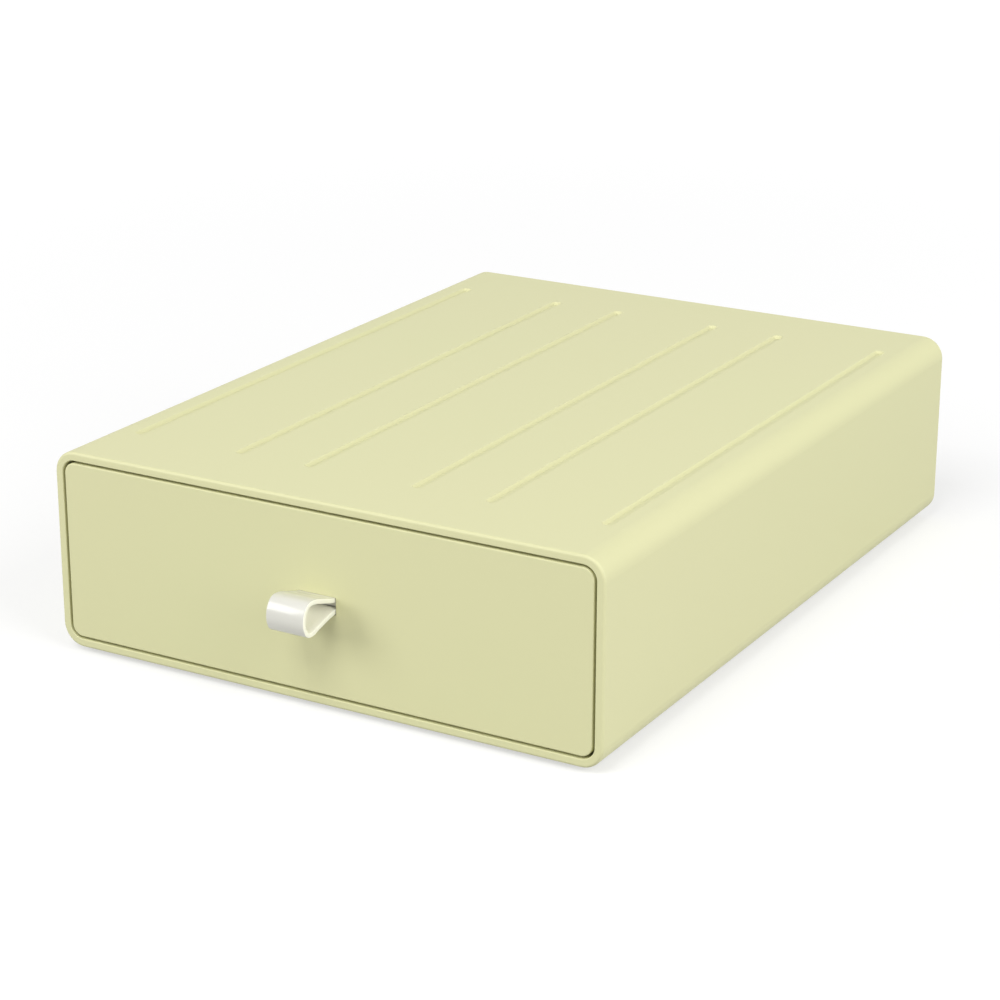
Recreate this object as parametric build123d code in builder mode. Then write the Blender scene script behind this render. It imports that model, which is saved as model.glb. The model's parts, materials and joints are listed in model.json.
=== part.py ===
from build123d import *
import os
from math import asin, atan2, cos, hypot, sin

# A stacking drawer box: a sleeve casing, a drawer that slides out of its mouth, and a strap to pull it.
# Millimetres. X runs across the front, Y from the front to the back, Z up from the table.

# Casing
case_width = 250.0
case_depth = 330.0
case_height = 84.0
case_corner_radius = 9.5
case_wall = 2.6
lip_width = 3.6
lip_depth = 14.0
lip_outer_radius = 1.2
lip_inner_radius = 0.4

# Stacking grooves in the roof and the floor, each backed by a ridge inside
groove_width = 4.7
groove_depth = 2.2
groove_side_inset = 17.2
groove_wide_pitch = 49.9
groove_narrow_pitch = 33.1
groove_end_inset = 32.5
groove_corner_radius = 1.9
groove_draft = 25.0
roof_groove_depth = 1.25
roof_groove_draft = 45.0
groove_rim_radius = 1.0
groove_floor_radius = 0.4

# Soft strips in the floor grooves
strip_clearance = 0.1
strip_edge_radius = 0.6

# Guides and stops inside the casing
guide_rib_height = 5.0
guide_rib_spacing = 26.0
stop_setback = 61.0
stop_thickness = 6.0
stop_width = 24.0
stop_clearance = 1.0

# Back panel and the ledges and beads that hold it
panel_thickness = 3.0
panel_clearance = 0.2
ledge_height = 1.4
ledge_length = 4.0
ledge_width = 180.0
bead_radius = 0.9
bead_proud = 0.5
bead_length = 40.0
bead_spacing = 120.0
bead_clearance = 0.15
closing_rib_depth = 4.0
closing_rib_height = 16.0

# Drawer front
drawer_gap = 1.1
front_recess = 0.0
front_depth = 12.0
front_face = 2.8
front_skirt = 2.2
front_edge_radius = 0.6
front_boss_diameter = 7.5
front_boss_inset = 15.0

# Drawer tray
tray_side_clearance = 0.6
tray_wall = 2.2
tray_floor = 2.2
tray_front_drop = 1.0
tray_rim_drop = 11.5
tray_rim_radius = 0.7
gusset_length = 12.0

# Stop clips on the tray's rear wall
clip_width = 20.0
clip_leg = 1.8
clip_leg_length = 14.0
clip_clearance = 0.1
clip_roof_clearance = 2.0
clip_edge_radius = 0.5
nib_width = 10.0
nib_height = 3.0
nib_depth = 1.4
nib_clearance = 0.2

# Strap loop and its ends
strap_width = 17.0
strap_thickness = 1.9
strap_root_height = 6.6
strap_reach = 21.6
strap_nose_radius = 7.2
strap_rise = 0.6
strap_end_length = 9.0
strap_swing_gap = 0.95
slot_clearance = 0.4
slot_corner_radius = 0.5

# Strap clamp
clamp_thickness = 3.0
clamp_edge_radius = 0.8
clamp_side_margin = 4.5
clamp_tongue_clearance = 0.3

# Screws
front_screw_diameter = 2.9
front_screw_bite = 7.3
clamp_screw_diameter = 2.5
clamp_screw_bite = 3.2
screw_clearance = 0.05
screw_head_ratio = 2.0
screw_head_height = 1.8
screw_recess_width = 0.8
screw_recess_depth = 0.9
screw_tip_room = 0.3

# Smallest rounding left inside a corner
least_radius = 0.5

# Levels, measured up from the table
case_bottom = groove_depth
case_top = case_bottom + case_height
case_mid_z = (case_bottom + case_top) / 2
floor_z = case_bottom + case_wall
roof_z = case_top - case_wall
runner_z = floor_z + groove_depth

# Depths, with the whole box centred over the origin, strap included
front_y = (strap_reach - front_recess - case_depth) / 2
back_y = front_y + case_depth
case_mid_y = (front_y + back_y) / 2
face_y = front_y + front_recess
tray_front_y = face_y + front_depth
panel_y = back_y - panel_thickness
clip_depth = tray_wall + 2 * (clip_leg + clip_clearance)
clip_back_y = panel_y - closing_rib_depth
tray_back_y = clip_back_y - clip_leg - clip_clearance

# Sizes that follow from the casing
cavity_width = case_width - 2 * case_wall
cavity_height = case_height - 2 * case_wall
cavity_corner_radius = case_corner_radius - case_wall
mouth_width = case_width - 2 * lip_width
mouth_height = case_height - 2 * lip_width
mouth_corner_radius = case_corner_radius - lip_width
front_width = mouth_width - 2 * drawer_gap
front_height = mouth_height - 2 * drawer_gap
front_corner_radius = mouth_corner_radius - drawer_gap
groove_length = case_depth - 2 * groove_end_inset

# Grooves run front to back in three pairs, placed from the casing's sides
outer_groove_x = case_width / 2 - groove_side_inset
middle_groove_x = outer_groove_x - groove_wide_pitch
inner_groove_x = middle_groove_x - groove_narrow_pitch
groove_places = {
    "left_outer": -outer_groove_x,
    "left_middle": -middle_groove_x,
    "left_inner": -inner_groove_x,
    "right_inner": inner_groove_x,
    "right_middle": middle_groove_x,
    "right_outer": outer_groove_x,
}
groove_points = [(x, case_mid_y) for x in groove_places.values()]
stop_x = (outer_groove_x + middle_groove_x) / 2

# Sizes that follow from the tray
tray_width = mouth_width - 2 * tray_side_clearance
tray_depth = tray_back_y - tray_front_y
tray_mid_y = (tray_front_y + tray_back_y) / 2
tray_top_z = case_mid_z + front_height / 2 - tray_front_drop
tray_rim_z = tray_top_z - tray_rim_drop
tray_inner_front_y = tray_front_y + tray_wall
tray_inner_radius = max(front_corner_radius - tray_floor, least_radius)
nib_z = tray_rim_z - clip_leg_length / 2

# Sizes that follow from the strap
slot_z = case_mid_z + strap_rise
slot_width = strap_width + 2 * slot_clearance
slot_height = strap_root_height + 2 * slot_clearance
inner_face_y = face_y + front_face
clamp_y = inner_face_y + strap_thickness
strap_end_height = strap_root_height / 2 + slot_clearance + strap_end_length

# Screw places
front_screw_points = [
    (x, case_mid_z + z)
    for x in (-front_width / 2 + front_boss_inset, front_width / 2 - front_boss_inset)
    for z in (-front_height / 2 + front_boss_inset, front_height / 2 - front_boss_inset)
]
front_hole_radius = front_screw_diameter / 2 + screw_clearance
clamp_screw_x = slot_width / 2 + clamp_side_margin
clamp_screw_points = [(-clamp_screw_x, slot_z), (clamp_screw_x, slot_z)]
clamp_hole_radius = clamp_screw_diameter / 2 + screw_clearance


def upright(y):
    """Plane across the box at depth y, facing the front."""
    return Plane.XZ.offset(-y)


def front_outline(y, width, height, radius):
    """Rounded rectangle across the box, centred on the casing's height."""
    with BuildSketch(upright(y)) as outline:
        with Locations((0, case_mid_z)):
            RectangleRounded(width, height, radius)
    return outline.sketch


def discs(y, points, radius):
    """Circles across the box at depth y, one at each point."""
    with BuildSketch(upright(y)) as circles:
        with Locations(*points):
            Circle(radius)
    return circles.sketch


def groove_outlines(z, margin):
    """One rounded oblong at level z for each stacking groove, larger than the groove by margin all round."""
    with BuildSketch(Plane.XY.offset(z)) as oblongs:
        with Locations(*groove_points):
            RectangleRounded(
                groove_width + 2 * margin, groove_length + 2 * margin, groove_corner_radius + margin
            )
    return oblongs.sketch


def bead_places():
    """Where the panel's beads run across, on its upper and lower edges."""
    edge = cavity_height / 2 - panel_clearance - bead_radius + bead_proud
    return [
        Location((x, back_y - panel_thickness / 2, case_mid_z + z), (0, 90, 0))
        for x in (-bead_spacing / 2, bead_spacing / 2)
        for z in (-edge, edge)
    ]


# Casing sleeve
with BuildPart() as casing_sleeve:
    extrude(front_outline(back_y, case_width, case_height, case_corner_radius), amount=case_depth)
    fillet(casing_sleeve.faces().sort_by(Axis.Y)[0].edges(), lip_outer_radius)

    # Cavity behind the lip, and the mouth through it
    cavity = front_outline(back_y, cavity_width, cavity_height, cavity_corner_radius)
    extrude(cavity, amount=case_depth - lip_depth, mode=Mode.SUBTRACT)
    mouth = front_outline(front_y + lip_depth, mouth_width, mouth_height, mouth_corner_radius)
    extrude(mouth, amount=lip_depth, mode=Mode.SUBTRACT)
    lip_face = casing_sleeve.faces().sort_by(Axis.Y)[0]
    fillet(lip_face.inner_wires()[0].edges(), lip_inner_radius)

    # Ridges inside the roof and the floor, then the grooves outside
    extrude(groove_outlines(roof_z, case_wall), amount=-roof_groove_depth)
    extrude(groove_outlines(floor_z, case_wall), amount=groove_depth)
    roof_grooves = groove_outlines(case_top, 0)
    extrude(roof_grooves, amount=-roof_groove_depth, taper=roof_groove_draft, mode=Mode.SUBTRACT)
    floor_grooves = groove_outlines(case_bottom, 0)
    extrude(floor_grooves, amount=groove_depth, taper=groove_draft, mode=Mode.SUBTRACT)
    roof_face = casing_sleeve.faces().sort_by(Axis.Z)[-1]
    fillet([edge for wire in roof_face.inner_wires() for edge in wire.edges()], groove_rim_radius)
    groove_floor_z = case_top - roof_groove_depth
    groove_floors = casing_sleeve.faces().filter_by_position(Axis.Z, groove_floor_z, groove_floor_z)
    fillet(groove_floors.edges(), groove_floor_radius)

    # Guide ribs along both sides, flush with the mouth
    with BuildSketch(upright(panel_y)):
        with GridLocations(2 * (cavity_width / 2 - (lip_width - case_wall) / 2), guide_rib_spacing, 2, 2):
            with Locations((0, case_mid_z)):
                Rectangle(lip_width - case_wall, guide_rib_height)
    extrude(amount=panel_y - front_y - lip_depth)

    # Stop blocks that hang from the roof, clear of the tray's rim
    with BuildSketch(Plane.XY.offset(roof_z)):
        with Locations((0, front_y + stop_setback + stop_thickness / 2)):
            with GridLocations(2 * stop_x, 0, 2, 1):
                Rectangle(stop_width, stop_thickness)
    extrude(amount=tray_rim_z + stop_clearance - roof_z)

    # Ledges in front of the back panel, and the grooves its beads snap into
    with BuildSketch(upright(panel_y)):
        with Locations((0, case_mid_z)):
            with GridLocations(0, cavity_height - ledge_height, 1, 2):
                Rectangle(ledge_width, ledge_height)
    extrude(amount=ledge_length)
    with Locations(*bead_places()):
        Cylinder(bead_radius + bead_clearance, bead_length + 2 * bead_clearance, mode=Mode.SUBTRACT)

# Back panel
with BuildPart() as back_panel:
    panel_outline = front_outline(
        back_y,
        cavity_width - 2 * panel_clearance,
        cavity_height - 2 * panel_clearance,
        cavity_corner_radius - panel_clearance,
    )
    extrude(panel_outline, amount=panel_thickness)
    with Locations(*bead_places()):
        Cylinder(bead_radius, bead_length)
    # Ribs that the closed drawer's stop clips rest against
    with BuildSketch(upright(panel_y)):
        with Locations((0, tray_rim_z - closing_rib_height / 2)):
            with GridLocations(2 * stop_x, 0, 2, 1):
                Rectangle(clip_width, closing_rib_height)
    extrude(amount=closing_rib_depth)


# Soft strips under the floor
def floor_strip(x):
    """Strip seated in the floor groove at x, standing out below the casing."""
    with BuildPart() as strip:
        with BuildSketch(Plane.XY.offset(case_bottom)):
            with Locations((x, case_mid_y)):
                RectangleRounded(
                    groove_width - 2 * strip_clearance,
                    groove_length - 2 * strip_clearance,
                    groove_corner_radius - strip_clearance,
                )
        extrude(amount=groove_depth, taper=groove_draft, both=True)
        fillet(strip.faces().sort_by(Axis.Z)[0].edges(), strip_edge_radius)
    return strip.part


# Drawer front: a face with a skirt behind it, bosses for the screws and a slot for the strap
with BuildPart() as drawer_front:
    extrude(front_outline(tray_front_y, front_width, front_height, front_corner_radius), amount=front_depth)
    fillet(drawer_front.faces().sort_by(Axis.Y)[0].edges(), front_edge_radius)
    hollow = front_outline(
        tray_front_y,
        front_width - 2 * front_skirt,
        front_height - 2 * front_skirt,
        max(front_corner_radius - front_skirt, least_radius),
    )
    extrude(hollow, amount=front_depth - front_face, mode=Mode.SUBTRACT)

    # Bosses for the screws that hold the tray, and lower ones for the strap clamp
    front_bosses = discs(tray_front_y, front_screw_points, front_boss_diameter / 2)
    extrude(front_bosses, amount=front_depth - front_face)
    front_holes = discs(tray_front_y, front_screw_points, front_hole_radius)
    extrude(front_holes, amount=front_screw_bite + screw_tip_room, mode=Mode.SUBTRACT)
    clamp_bosses = discs(clamp_y, clamp_screw_points, clamp_side_margin - slot_clearance)
    extrude(clamp_bosses, amount=strap_thickness)
    clamp_holes = discs(clamp_y, clamp_screw_points, clamp_hole_radius)
    extrude(clamp_holes, amount=clamp_screw_bite + screw_tip_room, mode=Mode.SUBTRACT)

    # Slot for the strap
    with BuildSketch(upright(inner_face_y)):
        with Locations((0, slot_z)):
            RectangleRounded(slot_width, slot_height, slot_corner_radius)
    extrude(amount=front_face, mode=Mode.SUBTRACT)

# Drawer tray
with BuildPart() as drawer_tray:
    # Tub up to its rim, rounded along the floor like the drawer front's corners
    tray_section_height = tray_top_z - runner_z
    with BuildSketch(upright(tray_back_y)):
        with Locations((0, runner_z + tray_section_height / 2)):
            RectangleRounded(tray_width, tray_section_height, front_corner_radius)
    extrude(amount=tray_depth)
    fillet(drawer_tray.faces().sort_by(Axis.Y)[-1].edges(), tray_inner_radius)
    split(bisect_by=Plane.XY.offset(tray_rim_z), keep=Keep.BOTTOM)

    # Inside of the tub
    with BuildSketch(Plane.XY.offset(tray_rim_z)):
        with Locations((0, tray_mid_y)):
            RectangleRounded(tray_width - 2 * tray_wall, tray_depth - 2 * tray_wall, front_corner_radius)
    extrude(amount=runner_z + tray_floor - tray_rim_z, mode=Mode.SUBTRACT)
    inner_floor = drawer_tray.faces().filter_by(Axis.Z).sort_by(Axis.Z)[1]
    fillet(inner_floor.edges(), tray_inner_radius)
    fillet(drawer_tray.faces().sort_by(Axis.Z)[-1].edges(), tray_rim_radius)

    # Front wall as tall as the drawer front, with a gusset down to each side's rim
    with BuildSketch(upright(tray_inner_front_y)):
        with Locations((0, runner_z + tray_section_height / 2)):
            RectangleRounded(tray_width, tray_section_height, front_corner_radius)
    extrude(amount=tray_wall)
    gusset_foot_z = tray_rim_z - tray_rim_radius
    with BuildSketch(Plane.YZ.offset(-tray_width / 2), Plane.YZ.offset(tray_width / 2 - tray_wall)):
        with BuildLine():
            Polyline(
                (tray_inner_front_y, gusset_foot_z),
                (tray_inner_front_y + gusset_length, gusset_foot_z),
                (tray_inner_front_y, tray_top_z - front_corner_radius),
                close=True,
            )
        make_face()
    extrude(amount=tray_wall)

    # Holes for the front screws, and windows that the stop clips' nibs snap into
    wall_holes = discs(tray_inner_front_y, front_screw_points, front_hole_radius)
    extrude(wall_holes, amount=tray_wall, mode=Mode.SUBTRACT)
    with BuildSketch(upright(tray_back_y)):
        with Locations((-stop_x, nib_z), (stop_x, nib_z)):
            Rectangle(nib_width + 2 * nib_clearance, nib_height + 2 * nib_clearance)
    extrude(amount=tray_wall, mode=Mode.SUBTRACT)


# Stop clips
def stop_clip(x):
    """Clip that straddles the tray's rear wall and stands up in the path of a roof stop."""
    clip_top_z = roof_z - clip_roof_clearance
    clip_bottom_z = tray_rim_z - clip_leg_length
    with BuildPart() as clip:
        with BuildSketch(upright(clip_back_y)):
            with Locations((x, (clip_top_z + clip_bottom_z) / 2)):
                Rectangle(clip_width, clip_top_z - clip_bottom_z)
        extrude(amount=clip_depth)
        fillet(clip.edges().filter_by(Axis.Y), clip_edge_radius)
        with BuildSketch(upright(tray_back_y + clip_clearance)):
            with Locations((x, (tray_rim_z + clip_bottom_z) / 2)):
                Rectangle(2 * clip_width, tray_rim_z - clip_bottom_z)
        extrude(amount=tray_wall + 2 * clip_clearance, mode=Mode.SUBTRACT)
        # Nib on the rear leg
        with BuildSketch(upright(tray_back_y + clip_clearance)):
            with Locations((x, nib_z)):
                Rectangle(nib_width, nib_height)
        extrude(amount=nib_depth)
    return clip.part


# Strap: a teardrop band, seen from the side as two straight strands tangent to a round nose
def teardrop(inset):
    """Side outline of the loop, drawn in by inset, with its root on the drawer's front."""
    centre = strap_reach - strap_nose_radius
    half_root = strap_root_height / 2
    lean = asin(strap_nose_radius / hypot(centre, half_root)) - atan2(half_root, centre)
    radius = strap_nose_radius - inset
    root = half_root - inset / cos(lean)
    touch_out = centre - radius * sin(lean)
    touch_up = radius * cos(lean)
    with BuildSketch(Plane.YZ.offset(-strap_width / 2)) as outline:
        with BuildLine():
            Polyline(
                (face_y - touch_out, slot_z + touch_up),
                (face_y, slot_z + root),
                (face_y, slot_z - root),
                (face_y - touch_out, slot_z - touch_up),
            )
            ThreePointArc(
                (face_y - touch_out, slot_z - touch_up),
                (face_y - centre - radius, slot_z),
                (face_y - touch_out, slot_z + touch_up),
            )
        make_face()
    return outline.sketch


with BuildPart() as pull_strap:
    extrude(teardrop(0), amount=strap_width)
    extrude(teardrop(strap_thickness), amount=strap_width, mode=Mode.SUBTRACT)


def strap_end(side):
    """End of the strap behind the slot: out of it, then flat along the inside of the front, up or down."""
    outside = strap_root_height / 2
    inside = outside - strap_thickness
    corners = [
        (face_y + strap_swing_gap, inside),
        (clamp_y, inside),
        (clamp_y, strap_end_height),
        (inner_face_y, strap_end_height),
        (inner_face_y, outside),
        (face_y + strap_swing_gap, outside),
    ]
    with BuildPart() as end:
        with BuildSketch(Plane.YZ.offset(-strap_width / 2)):
            with BuildLine():
                Polyline(*[(y, slot_z + side * rise) for y, rise in corners], close=True)
            make_face()
        extrude(amount=strap_width)
        bend = end.edges().filter_by(Axis.X).sort_by_distance((0, clamp_y, slot_z + side * inside))[0]
        fillet(bend, strap_thickness)
    return end.part


# Strap clamp: a plate over both ends, with a tongue that keeps the two strands apart
with BuildPart() as strap_clamp:
    clamp_width = 2 * (clamp_screw_x + clamp_side_margin)
    with BuildSketch(upright(clamp_y + clamp_thickness)):
        with Locations((0, slot_z)):
            RectangleRounded(clamp_width, 2 * strap_end_height, clamp_side_margin)
    extrude(amount=clamp_thickness)
    fillet(strap_clamp.faces().sort_by(Axis.Y)[-1].edges(), clamp_edge_radius)
    tongue_height = strap_root_height - 2 * strap_thickness - 2 * clamp_tongue_clearance
    with BuildSketch(upright(clamp_y)):
        with Locations((0, slot_z)):
            Rectangle(strap_width, tongue_height)
    extrude(amount=strap_thickness)
    plate_holes = discs(clamp_y + clamp_thickness, clamp_screw_points, clamp_hole_radius)
    extrude(plate_holes, amount=clamp_thickness, mode=Mode.SUBTRACT)


# Screws
def pan_screws(points, seat_y, diameter, length):
    """A group of pan head screws driven towards the front, with their heads on the plane at seat_y."""
    head_radius = diameter * screw_head_ratio / 2
    with BuildPart() as screws:
        extrude(discs(seat_y, points, diameter / 2), amount=length)
        chamfer(screws.faces().filter_by(Axis.Y).group_by(Axis.Y)[0].edges(), screw_tip_room)
        extrude(discs(seat_y, points, head_radius), amount=-screw_head_height)
        fillet(screws.faces().filter_by(Axis.Y).group_by(Axis.Y)[-1].edges(), screw_head_height / 2)
        with BuildSketch(upright(seat_y + screw_head_height)):
            with Locations(*points):
                Rectangle(diameter, screw_recess_width)
                Rectangle(screw_recess_width, diameter)
        extrude(amount=screw_recess_depth, mode=Mode.SUBTRACT)
    return screws.part


pieces = {
    "casing_sleeve": casing_sleeve.part,
    "back_panel": back_panel.part,
    "drawer_front": drawer_front.part,
    "drawer_tray": drawer_tray.part,
    "stop_clip_left": stop_clip(-stop_x),
    "stop_clip_right": stop_clip(stop_x),
    "pull_strap": pull_strap.part,
    "strap_end_upper": strap_end(1),
    "strap_end_lower": strap_end(-1),
    "strap_clamp": strap_clamp.part,
    "clamp_screws": pan_screws(
        clamp_screw_points,
        clamp_y + clamp_thickness,
        clamp_screw_diameter,
        clamp_thickness + clamp_screw_bite,
    ),
    "front_screws": pan_screws(
        front_screw_points,
        tray_inner_front_y,
        front_screw_diameter,
        tray_wall + front_screw_bite,
    ),
}
for place, x in groove_places.items():
    pieces["strip_" + place] = floor_strip(x)

os.makedirs("parts", exist_ok=True)
for name, piece in pieces.items():
    piece.label = name
    export_step(piece, "parts/" + name + ".step")
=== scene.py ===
import json
from math import radians

import bpy
from mathutils import Matrix, Vector


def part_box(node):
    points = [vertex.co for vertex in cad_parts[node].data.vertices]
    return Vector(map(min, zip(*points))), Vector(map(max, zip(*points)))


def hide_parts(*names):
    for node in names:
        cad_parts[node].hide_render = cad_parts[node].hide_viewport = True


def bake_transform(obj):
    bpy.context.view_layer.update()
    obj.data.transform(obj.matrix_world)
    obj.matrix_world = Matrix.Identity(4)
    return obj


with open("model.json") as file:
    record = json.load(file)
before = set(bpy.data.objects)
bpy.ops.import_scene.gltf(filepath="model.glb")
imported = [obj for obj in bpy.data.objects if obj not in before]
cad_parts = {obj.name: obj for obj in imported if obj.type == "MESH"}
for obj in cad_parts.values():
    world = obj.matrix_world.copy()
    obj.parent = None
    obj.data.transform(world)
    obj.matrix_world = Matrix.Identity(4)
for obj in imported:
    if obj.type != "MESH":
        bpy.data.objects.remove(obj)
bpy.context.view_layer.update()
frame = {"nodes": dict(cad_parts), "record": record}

# A drawer box with a strap pull: its finishes and its strap, then the stage, the light and the camera.
# Metres, in the solids' own frame: X runs to the right, Y from the front to the back, Z up from the table.

mm = 0.001

# Colours on a screen
shell_yellow = (213, 213, 166)
shell_yellow_warm = (214, 212, 167)
clip_white = (232, 231, 224)
strap_white = (212, 211, 202)
# Cream of the strap's core, set lighter than the core's own colour: painted bounce light inside the loop
strap_core_and_painted_bounce = (250, 249, 236)
strip_grey = (214, 214, 204)
strip_grey_dusty = (205, 205, 195)
screw_zinc = (196, 198, 200)
screw_zinc_dark = (178, 180, 182)
floor_grey = (180, 180, 180)

# Moulded plastic: a slow drift of colour and a fine grain, as many waves to the metre as the scale says
drift_scale = 11.0
grain_scale = 1500.0
grain_height = 0.02 * mm
grain_strength = 0.25
grain_middle = 0.5
grain_roughness = 0.12
shell_roughness = 0.5
clip_roughness = 0.42
plastic_index = 1.46

# Strap's skin, pebbled and creased, and its bare core, whose cream is lightened by painted bounce light
# inside the loop
pebble_scale = 1900.0
pebble_smoothness = 0.6
pebble_share = 0.6
crease_scale = 420.0
crease_roughness = 0.12
skin_height = 0.06 * mm
skin_strength = 0.3
skin_roughness = 0.36
skin_coat = 0.8
skin_coat_roughness = 0.15
skin_index = 1.48
core_roughness = 0.2

# Rubber of the floor strips: a grain drawn out along Y, and dust
drawn_stretch = (1.0, 0.08, 1.0)
drawn_scale = 1400.0
drawn_height = 0.03 * mm
drawn_strength = 0.4
drawn_roughness = 0.12
dust_scale = 90.0
rubber_roughness = 0.72

# Screw steel
mottle_scale = 1600.0
mottle_roughness = 0.14
steel_roughness = 0.28

# Strap, across and along
strap_width = 17.0 * mm
strap_thickness = 1.9 * mm
strap_edge_radius = 0.32 * mm
strap_edge_points = 4
strap_bare_share = 0.6
strap_step = 0.35 * mm
strap_line_steps = 24

# Strap's middle line from its upper end, round the loop, to its lower end: how far out of the drawer's front
# and how far above the middle of the slot, in millimetres
strap_line = [
    (-3.75, 12.9),
    (-3.75, 3.8),
    (-2.3, 2.7),
    (0.5, 2.75),
    (7.0, 4.6),
    (14.3, 6.55),
    (17.6, 6.3),
    (19.7, 4.4),
    (20.9, 1.0),
    (20.3, -3.1),
    (18.5, -5.3),
    (15.9, -5.9),
    (11.0, -4.7),
    (0.8, -2.45),
    (-2.3, -2.35),
    (-3.75, -3.8),
    (-3.75, -12.9),
]

# Floor, and how much its shown brightness is lifted near the box and far from it
floor_half_side = 6.0
floor_level = -0.1 * mm
lift_near = 0.56
lift_far = 0.84
lift_near_distance = 0.3
lift_far_distance = 2.2

# Light
surroundings_strength = 0.38
lamp_aim = (0.0, 0.0, 0.05)
right_lamp_aim = (0.0, 0.05, 0.05)

# Camera, aimed at a point inside the box
camera_lens = 97.4
camera_sensor = 36.0
camera_reach = 50.0
camera_aim = (-0.00906, 0.00274, 0.0372)
camera_distance = 1.17455
camera_azimuth = 29.906
camera_elevation = 19.425
camera_roll = 0.119


def screen_colour(red, green, blue):
    """Linear colour of a screen colour given in 0 to 255, by the sRGB curve."""
    def linear(value):
        share = value / 255
        return share / 12.92 if share <= 0.04045 else ((share + 0.055) / 1.055) ** 2.4
    return (linear(red), linear(green), linear(blue), 1.0)


class Wire:
    """An output in a node tree. Arithmetic on it adds Math nodes to that tree."""

    def __init__(self, tree, socket):
        self.tree = tree
        self.socket = socket

    @staticmethod
    def node(tree, kind, settings=None, inputs=None, output=0):
        """Adds a node: its settings first, then its inputs, each a plain value or another wire."""
        made = tree.nodes.new(kind)
        for name, value in (settings or {}).items():
            setattr(made, name, value)
        for name, value in (inputs or {}).items():
            if isinstance(value, Wire):
                tree.links.new(value.socket, made.inputs[name])
            else:
                made.inputs[name].default_value = value
        return Wire(tree, made.outputs[output]) if made.outputs else made

    def math(self, operation, first, second):
        return Wire.node(self.tree, "ShaderNodeMath", {"operation": operation}, {0: first, 1: second})

    def __add__(self, other):
        return self.math("ADD", self, other)

    def __radd__(self, other):
        return self.math("ADD", other, self)

    def __sub__(self, other):
        return self.math("SUBTRACT", self, other)

    def __rsub__(self, other):
        return self.math("SUBTRACT", other, self)

    def __mul__(self, other):
        return self.math("MULTIPLY", self, other)

    def __rmul__(self, other):
        return self.math("MULTIPLY", other, self)


# Finishes
def blank_material(name):
    """A material with an empty node tree."""
    material = bpy.data.materials.new(name)
    material.use_nodes = True
    material.node_tree.nodes.clear()
    return material, material.node_tree


def object_place(tree):
    """Where a point lies, in its object's own frame."""
    return Wire.node(tree, "ShaderNodeTexCoord", output="Object")


def noise(tree, place, scale, detail=2.0, roughness=0.5):
    return Wire.node(
        tree, "ShaderNodeTexNoise", {"noise_dimensions": "3D"},
        {"Vector": place, "Scale": scale, "Detail": detail, "Roughness": roughness}, output="Fac",
    )


def mix_colour(tree, share, first, second):
    """The first screen colour where the share is 0, the second where it is 1."""
    return Wire.node(
        tree, "ShaderNodeMix", {"data_type": "RGBA"},
        {0: share, 6: screen_colour(*first), 7: screen_colour(*second)}, output=2,
    )


def bump(tree, height, distance, strength):
    return Wire.node(
        tree, "ShaderNodeBump", None, {"Height": height, "Distance": distance, "Strength": strength},
    )


def surface(tree, inputs):
    """Ends a tree in one Principled shader with these inputs."""
    shader = Wire.node(tree, "ShaderNodeBsdfPrincipled", None, inputs)
    Wire.node(tree, "ShaderNodeOutputMaterial", None, {"Surface": shader})


def moulded_plastic(name, colour, second_colour, middle_roughness):
    """Matte moulding with a fine spark-eroded grain and a faint drift of colour."""
    material, tree = blank_material(name)
    place = object_place(tree)
    drift = noise(tree, place, drift_scale)
    grain = noise(tree, place, grain_scale, detail=3.0, roughness=0.6)
    surface(tree, {
        "Base Color": mix_colour(tree, drift, colour, second_colour),
        "Roughness": middle_roughness + grain_roughness * (grain - grain_middle),
        "Normal": bump(tree, grain, grain_height, grain_strength),
        "IOR": plastic_index,
    })
    return material


def coated_strap():
    """White coated strap: pebbled skin on its outer face, bare cream core on its inside and cut edges. The
    cream is partly the core's own colour and partly painted bounce light.
    """
    material, tree = blank_material("white_coated_strap")
    place = object_place(tree)
    pebble = Wire.node(
        tree, "ShaderNodeTexVoronoi", {"feature": "SMOOTH_F1"},
        {"Vector": place, "Scale": pebble_scale, "Smoothness": pebble_smoothness}, output="Distance",
    )
    crease = noise(tree, place, crease_scale, detail=4.0, roughness=0.6)
    # Where the core is bare, the cream is lighter: partly its own colour, partly painted bounce light
    bare_and_painted_bounce = Wire.node(tree, "ShaderNodeAttribute", {"attribute_name": "bare_core_and_painted_bounce"}, output="Fac")
    relief = pebble * pebble_share + crease * (1 - pebble_share)
    surface(tree, {
        "Base Color": mix_colour(tree, bare_and_painted_bounce, strap_white, strap_core_and_painted_bounce),
        "Roughness": skin_roughness + crease_roughness * crease + core_roughness * bare_and_painted_bounce,
        "Normal": bump(tree, relief, skin_height, skin_strength),
        "IOR": skin_index,
        "Coat Weight": skin_coat - skin_coat * bare_and_painted_bounce,
        "Coat Roughness": skin_coat_roughness,
    })
    return material


def soft_rubber():
    """Dull rubber of the floor strips, with a fine drawn grain along their length."""
    material, tree = blank_material("soft_rubber")
    place = object_place(tree)
    along = Wire.node(
        tree, "ShaderNodeMapping", None, {"Vector": place, "Scale": drawn_stretch},
    )
    drawn = noise(tree, along, drawn_scale, detail=3.0, roughness=0.6)
    dust = noise(tree, place, dust_scale, detail=3.0)
    surface(tree, {
        "Base Color": mix_colour(tree, dust, strip_grey, strip_grey_dusty),
        "Roughness": rubber_roughness + drawn_roughness * drawn,
        "Normal": bump(tree, drawn, drawn_height, drawn_strength),
    })
    return material


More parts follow.
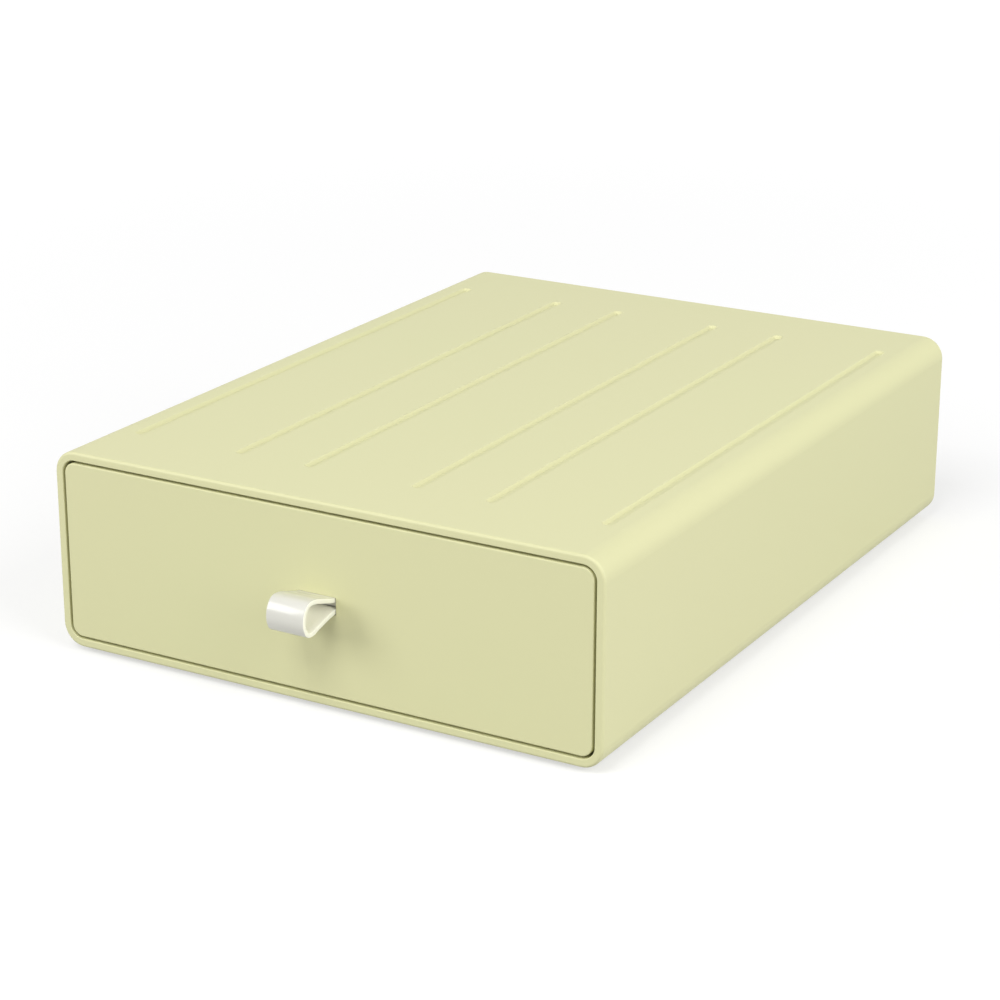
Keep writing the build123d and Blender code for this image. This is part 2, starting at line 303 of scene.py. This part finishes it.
def zinc_steel():
    """Zinc plated screw steel with a faint crystalline mottle."""
    material, tree = blank_material("zinc_plated_steel")
    place = object_place(tree)
    mottle = Wire.node(
        tree, "ShaderNodeTexVoronoi", None, {"Vector": place, "Scale": mottle_scale}, output="Color",
    )
    flake = Wire.node(tree, "ShaderNodeSeparateColor", None, {"Color": mottle}, output="Red")
    surface(tree, {
        "Base Color": mix_colour(tree, flake, screw_zinc, screw_zinc_dark),
        "Metallic": 1.0,
        "Roughness": steel_roughness + mottle_roughness * flake,
    })
    return material


strap_skin = coated_strap()
finishes = {
    "pale_yellow_plastic": moulded_plastic(
        "pale_yellow_moulding", shell_yellow, shell_yellow_warm, shell_roughness,
    ),
    "clip_plastic": moulded_plastic("off_white_moulding", clip_white, clip_white, clip_roughness),
    "white_strap": strap_skin,
    "soft_strip": soft_rubber(),
    "screw_steel": zinc_steel(),
}
for row in frame["record"]["subparts"]:
    node_object = frame["nodes"][row["node"]]
    node_object.material_slots[0].material = finishes[row["material_slot"]]


# Strap
def new_geometry_tree(name, inputs):
    """An empty Geometry Nodes tree with geometry in and out and the named inputs."""
    tree = bpy.data.node_groups.new(name, "GeometryNodeTree")
    tree.interface.new_socket("Geometry", in_out="INPUT", socket_type="NodeSocketGeometry")
    tree.interface.new_socket("Geometry", in_out="OUTPUT", socket_type="NodeSocketGeometry")
    for label, kind in inputs.items():
        tree.interface.new_socket(label, in_out="INPUT", socket_type=kind)
    entry = tree.nodes.new("NodeGroupInput")
    return tree, {socket.name: Wire(tree, socket) for socket in entry.outputs if socket.name}


def end_geometry_tree(tree, geometry, material):
    """Realizes what was made, gives it its material and hands it out."""
    real = Wire.node(tree, "GeometryNodeRealizeInstances", None, {"Geometry": geometry})
    coated = Wire.node(tree, "GeometryNodeSetMaterial", None, {"Geometry": real, "Material": material})
    Wire.node(tree, "NodeGroupOutput", None, {"Geometry": coated})


def made_mesh(name, source, tree, values):
    """Runs a Geometry Nodes tree on an object's data and returns the result as a plain mesh object."""
    carrier = bpy.data.objects.new(name + "_source", source)
    bpy.context.scene.collection.objects.link(carrier)
    modifier = carrier.modifiers.new("build", "NODES")
    modifier.node_group = tree
    for item in tree.interface.items_tree:
        if item.in_out == "INPUT" and item.name in values:
            modifier[item.identifier] = values[item.name]
    graph = bpy.context.evaluated_depsgraph_get()
    mesh = bpy.data.meshes.new_from_object(carrier.evaluated_get(graph))
    bpy.data.objects.remove(carrier)
    piece = bpy.data.objects.new(name, mesh)
    bpy.context.scene.collection.objects.link(piece)
    return piece


def strap_section(tree, given):
    """A rounded oblong across the strap, marked where the core is bare: on its cut edges and its inside. The
    same mark places the lighter cream, which is partly painted bounce light.
    """
    oblong = Wire.node(
        tree, "GeometryNodeCurvePrimitiveQuadrilateral", {"mode": "RECTANGLE"},
        {"Width": given["Width"], "Height": given["Thickness"]},
    )
    section = Wire.node(
        tree, "GeometryNodeFilletCurve", {"mode": "POLY"},
        {"Curve": oblong, "Count": strap_edge_points, "Radius": given["Edge Radius"]},
    )
    place = Wire.node(tree, "GeometryNodeInputPosition")
    across = Wire.node(tree, "ShaderNodeSeparateXYZ", None, {"Vector": place}, output="X")
    through = Wire.node(tree, "ShaderNodeSeparateXYZ", None, {"Vector": place}, output="Y")
    reach = Wire.node(tree, "ShaderNodeMath", {"operation": "ABSOLUTE"}, {0: across})
    edge = reach.math(
        "GREATER_THAN", reach, given["Width"] * 0.5 - given["Edge Radius"] * strap_bare_share,
    )
    inside = through.math("LESS_THAN", through, given["Edge Radius"] - given["Thickness"] * 0.5)
    return Wire.node(
        tree, "GeometryNodeStoreNamedAttribute", {"data_type": "FLOAT", "domain": "POINT"},
        {"Geometry": section, "Name": "bare_core_and_painted_bounce", "Value": edge.math("MAXIMUM", edge, inside)},
    )


def strap_tree():
    """A band: the strap's section swept along a line."""
    tree, given = new_geometry_tree("strap_band", {
        "Width": "NodeSocketFloat",
        "Thickness": "NodeSocketFloat",
        "Edge Radius": "NodeSocketFloat",
        "Step": "NodeSocketFloat",
        "Material": "NodeSocketMaterial",
    })
    line = Wire.node(
        tree, "GeometryNodeResampleCurve", {"mode": "LENGTH"},
        {"Curve": given["Geometry"], "Length": given["Step"]},
    )
    upright = Wire.node(
        tree, "GeometryNodeSetCurveNormal", {"mode": "FREE"}, {"Curve": line, "Normal": (1.0, 0.0, 0.0)},
    )
    band = Wire.node(
        tree, "GeometryNodeCurveToMesh", None,
        {"Curve": upright, "Profile Curve": strap_section(tree, given), "Fill Caps": True},
    )
    smooth = Wire.node(tree, "GeometryNodeSetShadeSmooth", None, {"Geometry": band, "Shade Smooth": True})
    end_geometry_tree(tree, smooth, given["Material"])
    return tree


def strap_path(front_y, middle_z):
    """The strap's middle line as a smooth curve in the plane across the slot's middle."""
    curve = bpy.data.curves.new("strap_line", "CURVE")
    curve.dimensions = "3D"
    spline = curve.splines.new("BEZIER")
    spline.bezier_points.add(len(strap_line) - 1)
    spline.resolution_u = strap_line_steps
    for point, (out, rise) in zip(spline.bezier_points, strap_line):
        point.co = (0.0, front_y - out * mm, middle_z + rise * mm)
        point.handle_left_type = point.handle_right_type = "AUTO"
    return curve


face_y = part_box("drawer_front")[0].y
slot_z = sum(corner.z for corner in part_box("pull_strap")) / 2
strap = made_mesh("strap", strap_path(face_y, slot_z), strap_tree(), {
    "Width": strap_width,
    "Thickness": strap_thickness,
    "Edge Radius": strap_edge_radius,
    "Step": strap_step,
    "Material": strap_skin,
})
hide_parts("pull_strap", "strap_end_upper", "strap_end_lower")
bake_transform(strap)


# Stage: a pale floor that shows only the box's shadow, in white surroundings
def seen_directly(tree):
    """1 for rays from the camera and for mirrored and transmitted rays, 0 for rays that light the scene."""
    camera, mirrored, through = [
        Wire.node(tree, "ShaderNodeLightPath", output=kind)
        for kind in ("Is Camera Ray", "Is Glossy Ray", "Is Transmission Ray")
    ]
    return camera + mirrored + through


def pale_floor():
    """Pale floor. What the camera and reflections see of it is lifted to white outside the shadow."""
    material, tree = blank_material("pale_floor")
    away = Wire.node(
        tree, "ShaderNodeVectorMath", {"operation": "LENGTH"}, {0: object_place(tree)}, output="Value",
    )
    lift = Wire.node(tree, "ShaderNodeMapRange", {"interpolation_type": "SMOOTHSTEP"}, {
        "Value": away,
        "From Min": lift_near_distance,
        "From Max": lift_far_distance,
        "To Min": lift_near,
        "To Max": lift_far,
    })
    matte = Wire.node(tree, "ShaderNodeBsdfDiffuse", None, {"Color": screen_colour(*floor_grey)})
    glow = Wire.node(tree, "ShaderNodeEmission", None, {"Strength": lift * seen_directly(tree)})
    both = Wire.node(tree, "ShaderNodeAddShader", None, {0: matte, 1: glow})
    Wire.node(tree, "ShaderNodeOutputMaterial", None, {"Surface": both})
    return material


def stage_floor(half_side, level):
    """A square floor that isn't part of the object."""
    mesh = bpy.data.meshes.new("floor")
    corners = [(-half_side, -half_side, level), (half_side, -half_side, level),
               (half_side, half_side, level), (-half_side, half_side, level)]
    mesh.from_pydata(corners, [], [(0, 1, 2, 3)])
    mesh.materials.append(pale_floor())
    floor = bpy.data.objects.new("floor", mesh)
    bpy.context.scene.collection.objects.link(floor)


def white_surroundings(strength):
    """Even white light from all round, seen as plain white."""
    world = bpy.data.worlds.new("white_room")
    world.use_nodes = True
    tree = world.node_tree
    tree.nodes.clear()
    shown = seen_directly(tree)
    light = Wire.node(
        tree, "ShaderNodeBackground", None,
        {"Color": (1, 1, 1, 1), "Strength": shown + (1 - shown) * strength},
    )
    Wire.node(tree, "ShaderNodeOutputWorld", None, {"Surface": light})
    bpy.context.scene.world = world


def soft_lamp(name, place, aim, side, power):
    """Square soft lamp that faces its aim."""
    lamp = bpy.data.lights.new(name, "AREA")
    lamp.shape = "SQUARE"
    lamp.size = side
    lamp.energy = power
    holder = bpy.data.objects.new(name, lamp)
    holder.location = place
    holder.rotation_euler = (Vector(aim) - Vector(place)).to_track_quat("-Z", "Y").to_euler()
    bpy.context.scene.collection.objects.link(holder)


stage_floor(floor_half_side, floor_level)
white_surroundings(surroundings_strength)
soft_lamp("lamp_front", place=(-2.2, -2.6, 1.6), aim=lamp_aim, side=1.8, power=56.0)
soft_lamp("lamp_above", place=(0.1, -2.3, 3.0), aim=lamp_aim, side=1.5, power=48.0)
soft_lamp("lamp_right", place=(2.1, -0.25, 1.12), aim=right_lamp_aim, side=2.0, power=41.0)


# Camera
def photo_camera():
    """Camera that sees the box as the photo does."""
    turn = (
        Matrix.Rotation(radians(camera_azimuth), 4, "Z")
        @ Matrix.Rotation(radians(90 - camera_elevation), 4, "X")
        @ Matrix.Rotation(radians(camera_roll), 4, "Z")
    )
    back = turn @ Vector((0.0, 0.0, camera_distance))
    camera = bpy.data.cameras.new("camera")
    camera.lens = camera_lens
    camera.sensor_width = camera_sensor
    camera.clip_end = camera_reach
    holder = bpy.data.objects.new("camera", camera)
    holder.matrix_world = Matrix.Translation(Vector(camera_aim) + back) @ turn
    bpy.context.scene.collection.objects.link(holder)
    bpy.context.scene.camera = holder


photo_camera()
bpy.context.scene.view_settings.view_transform = "Standard"
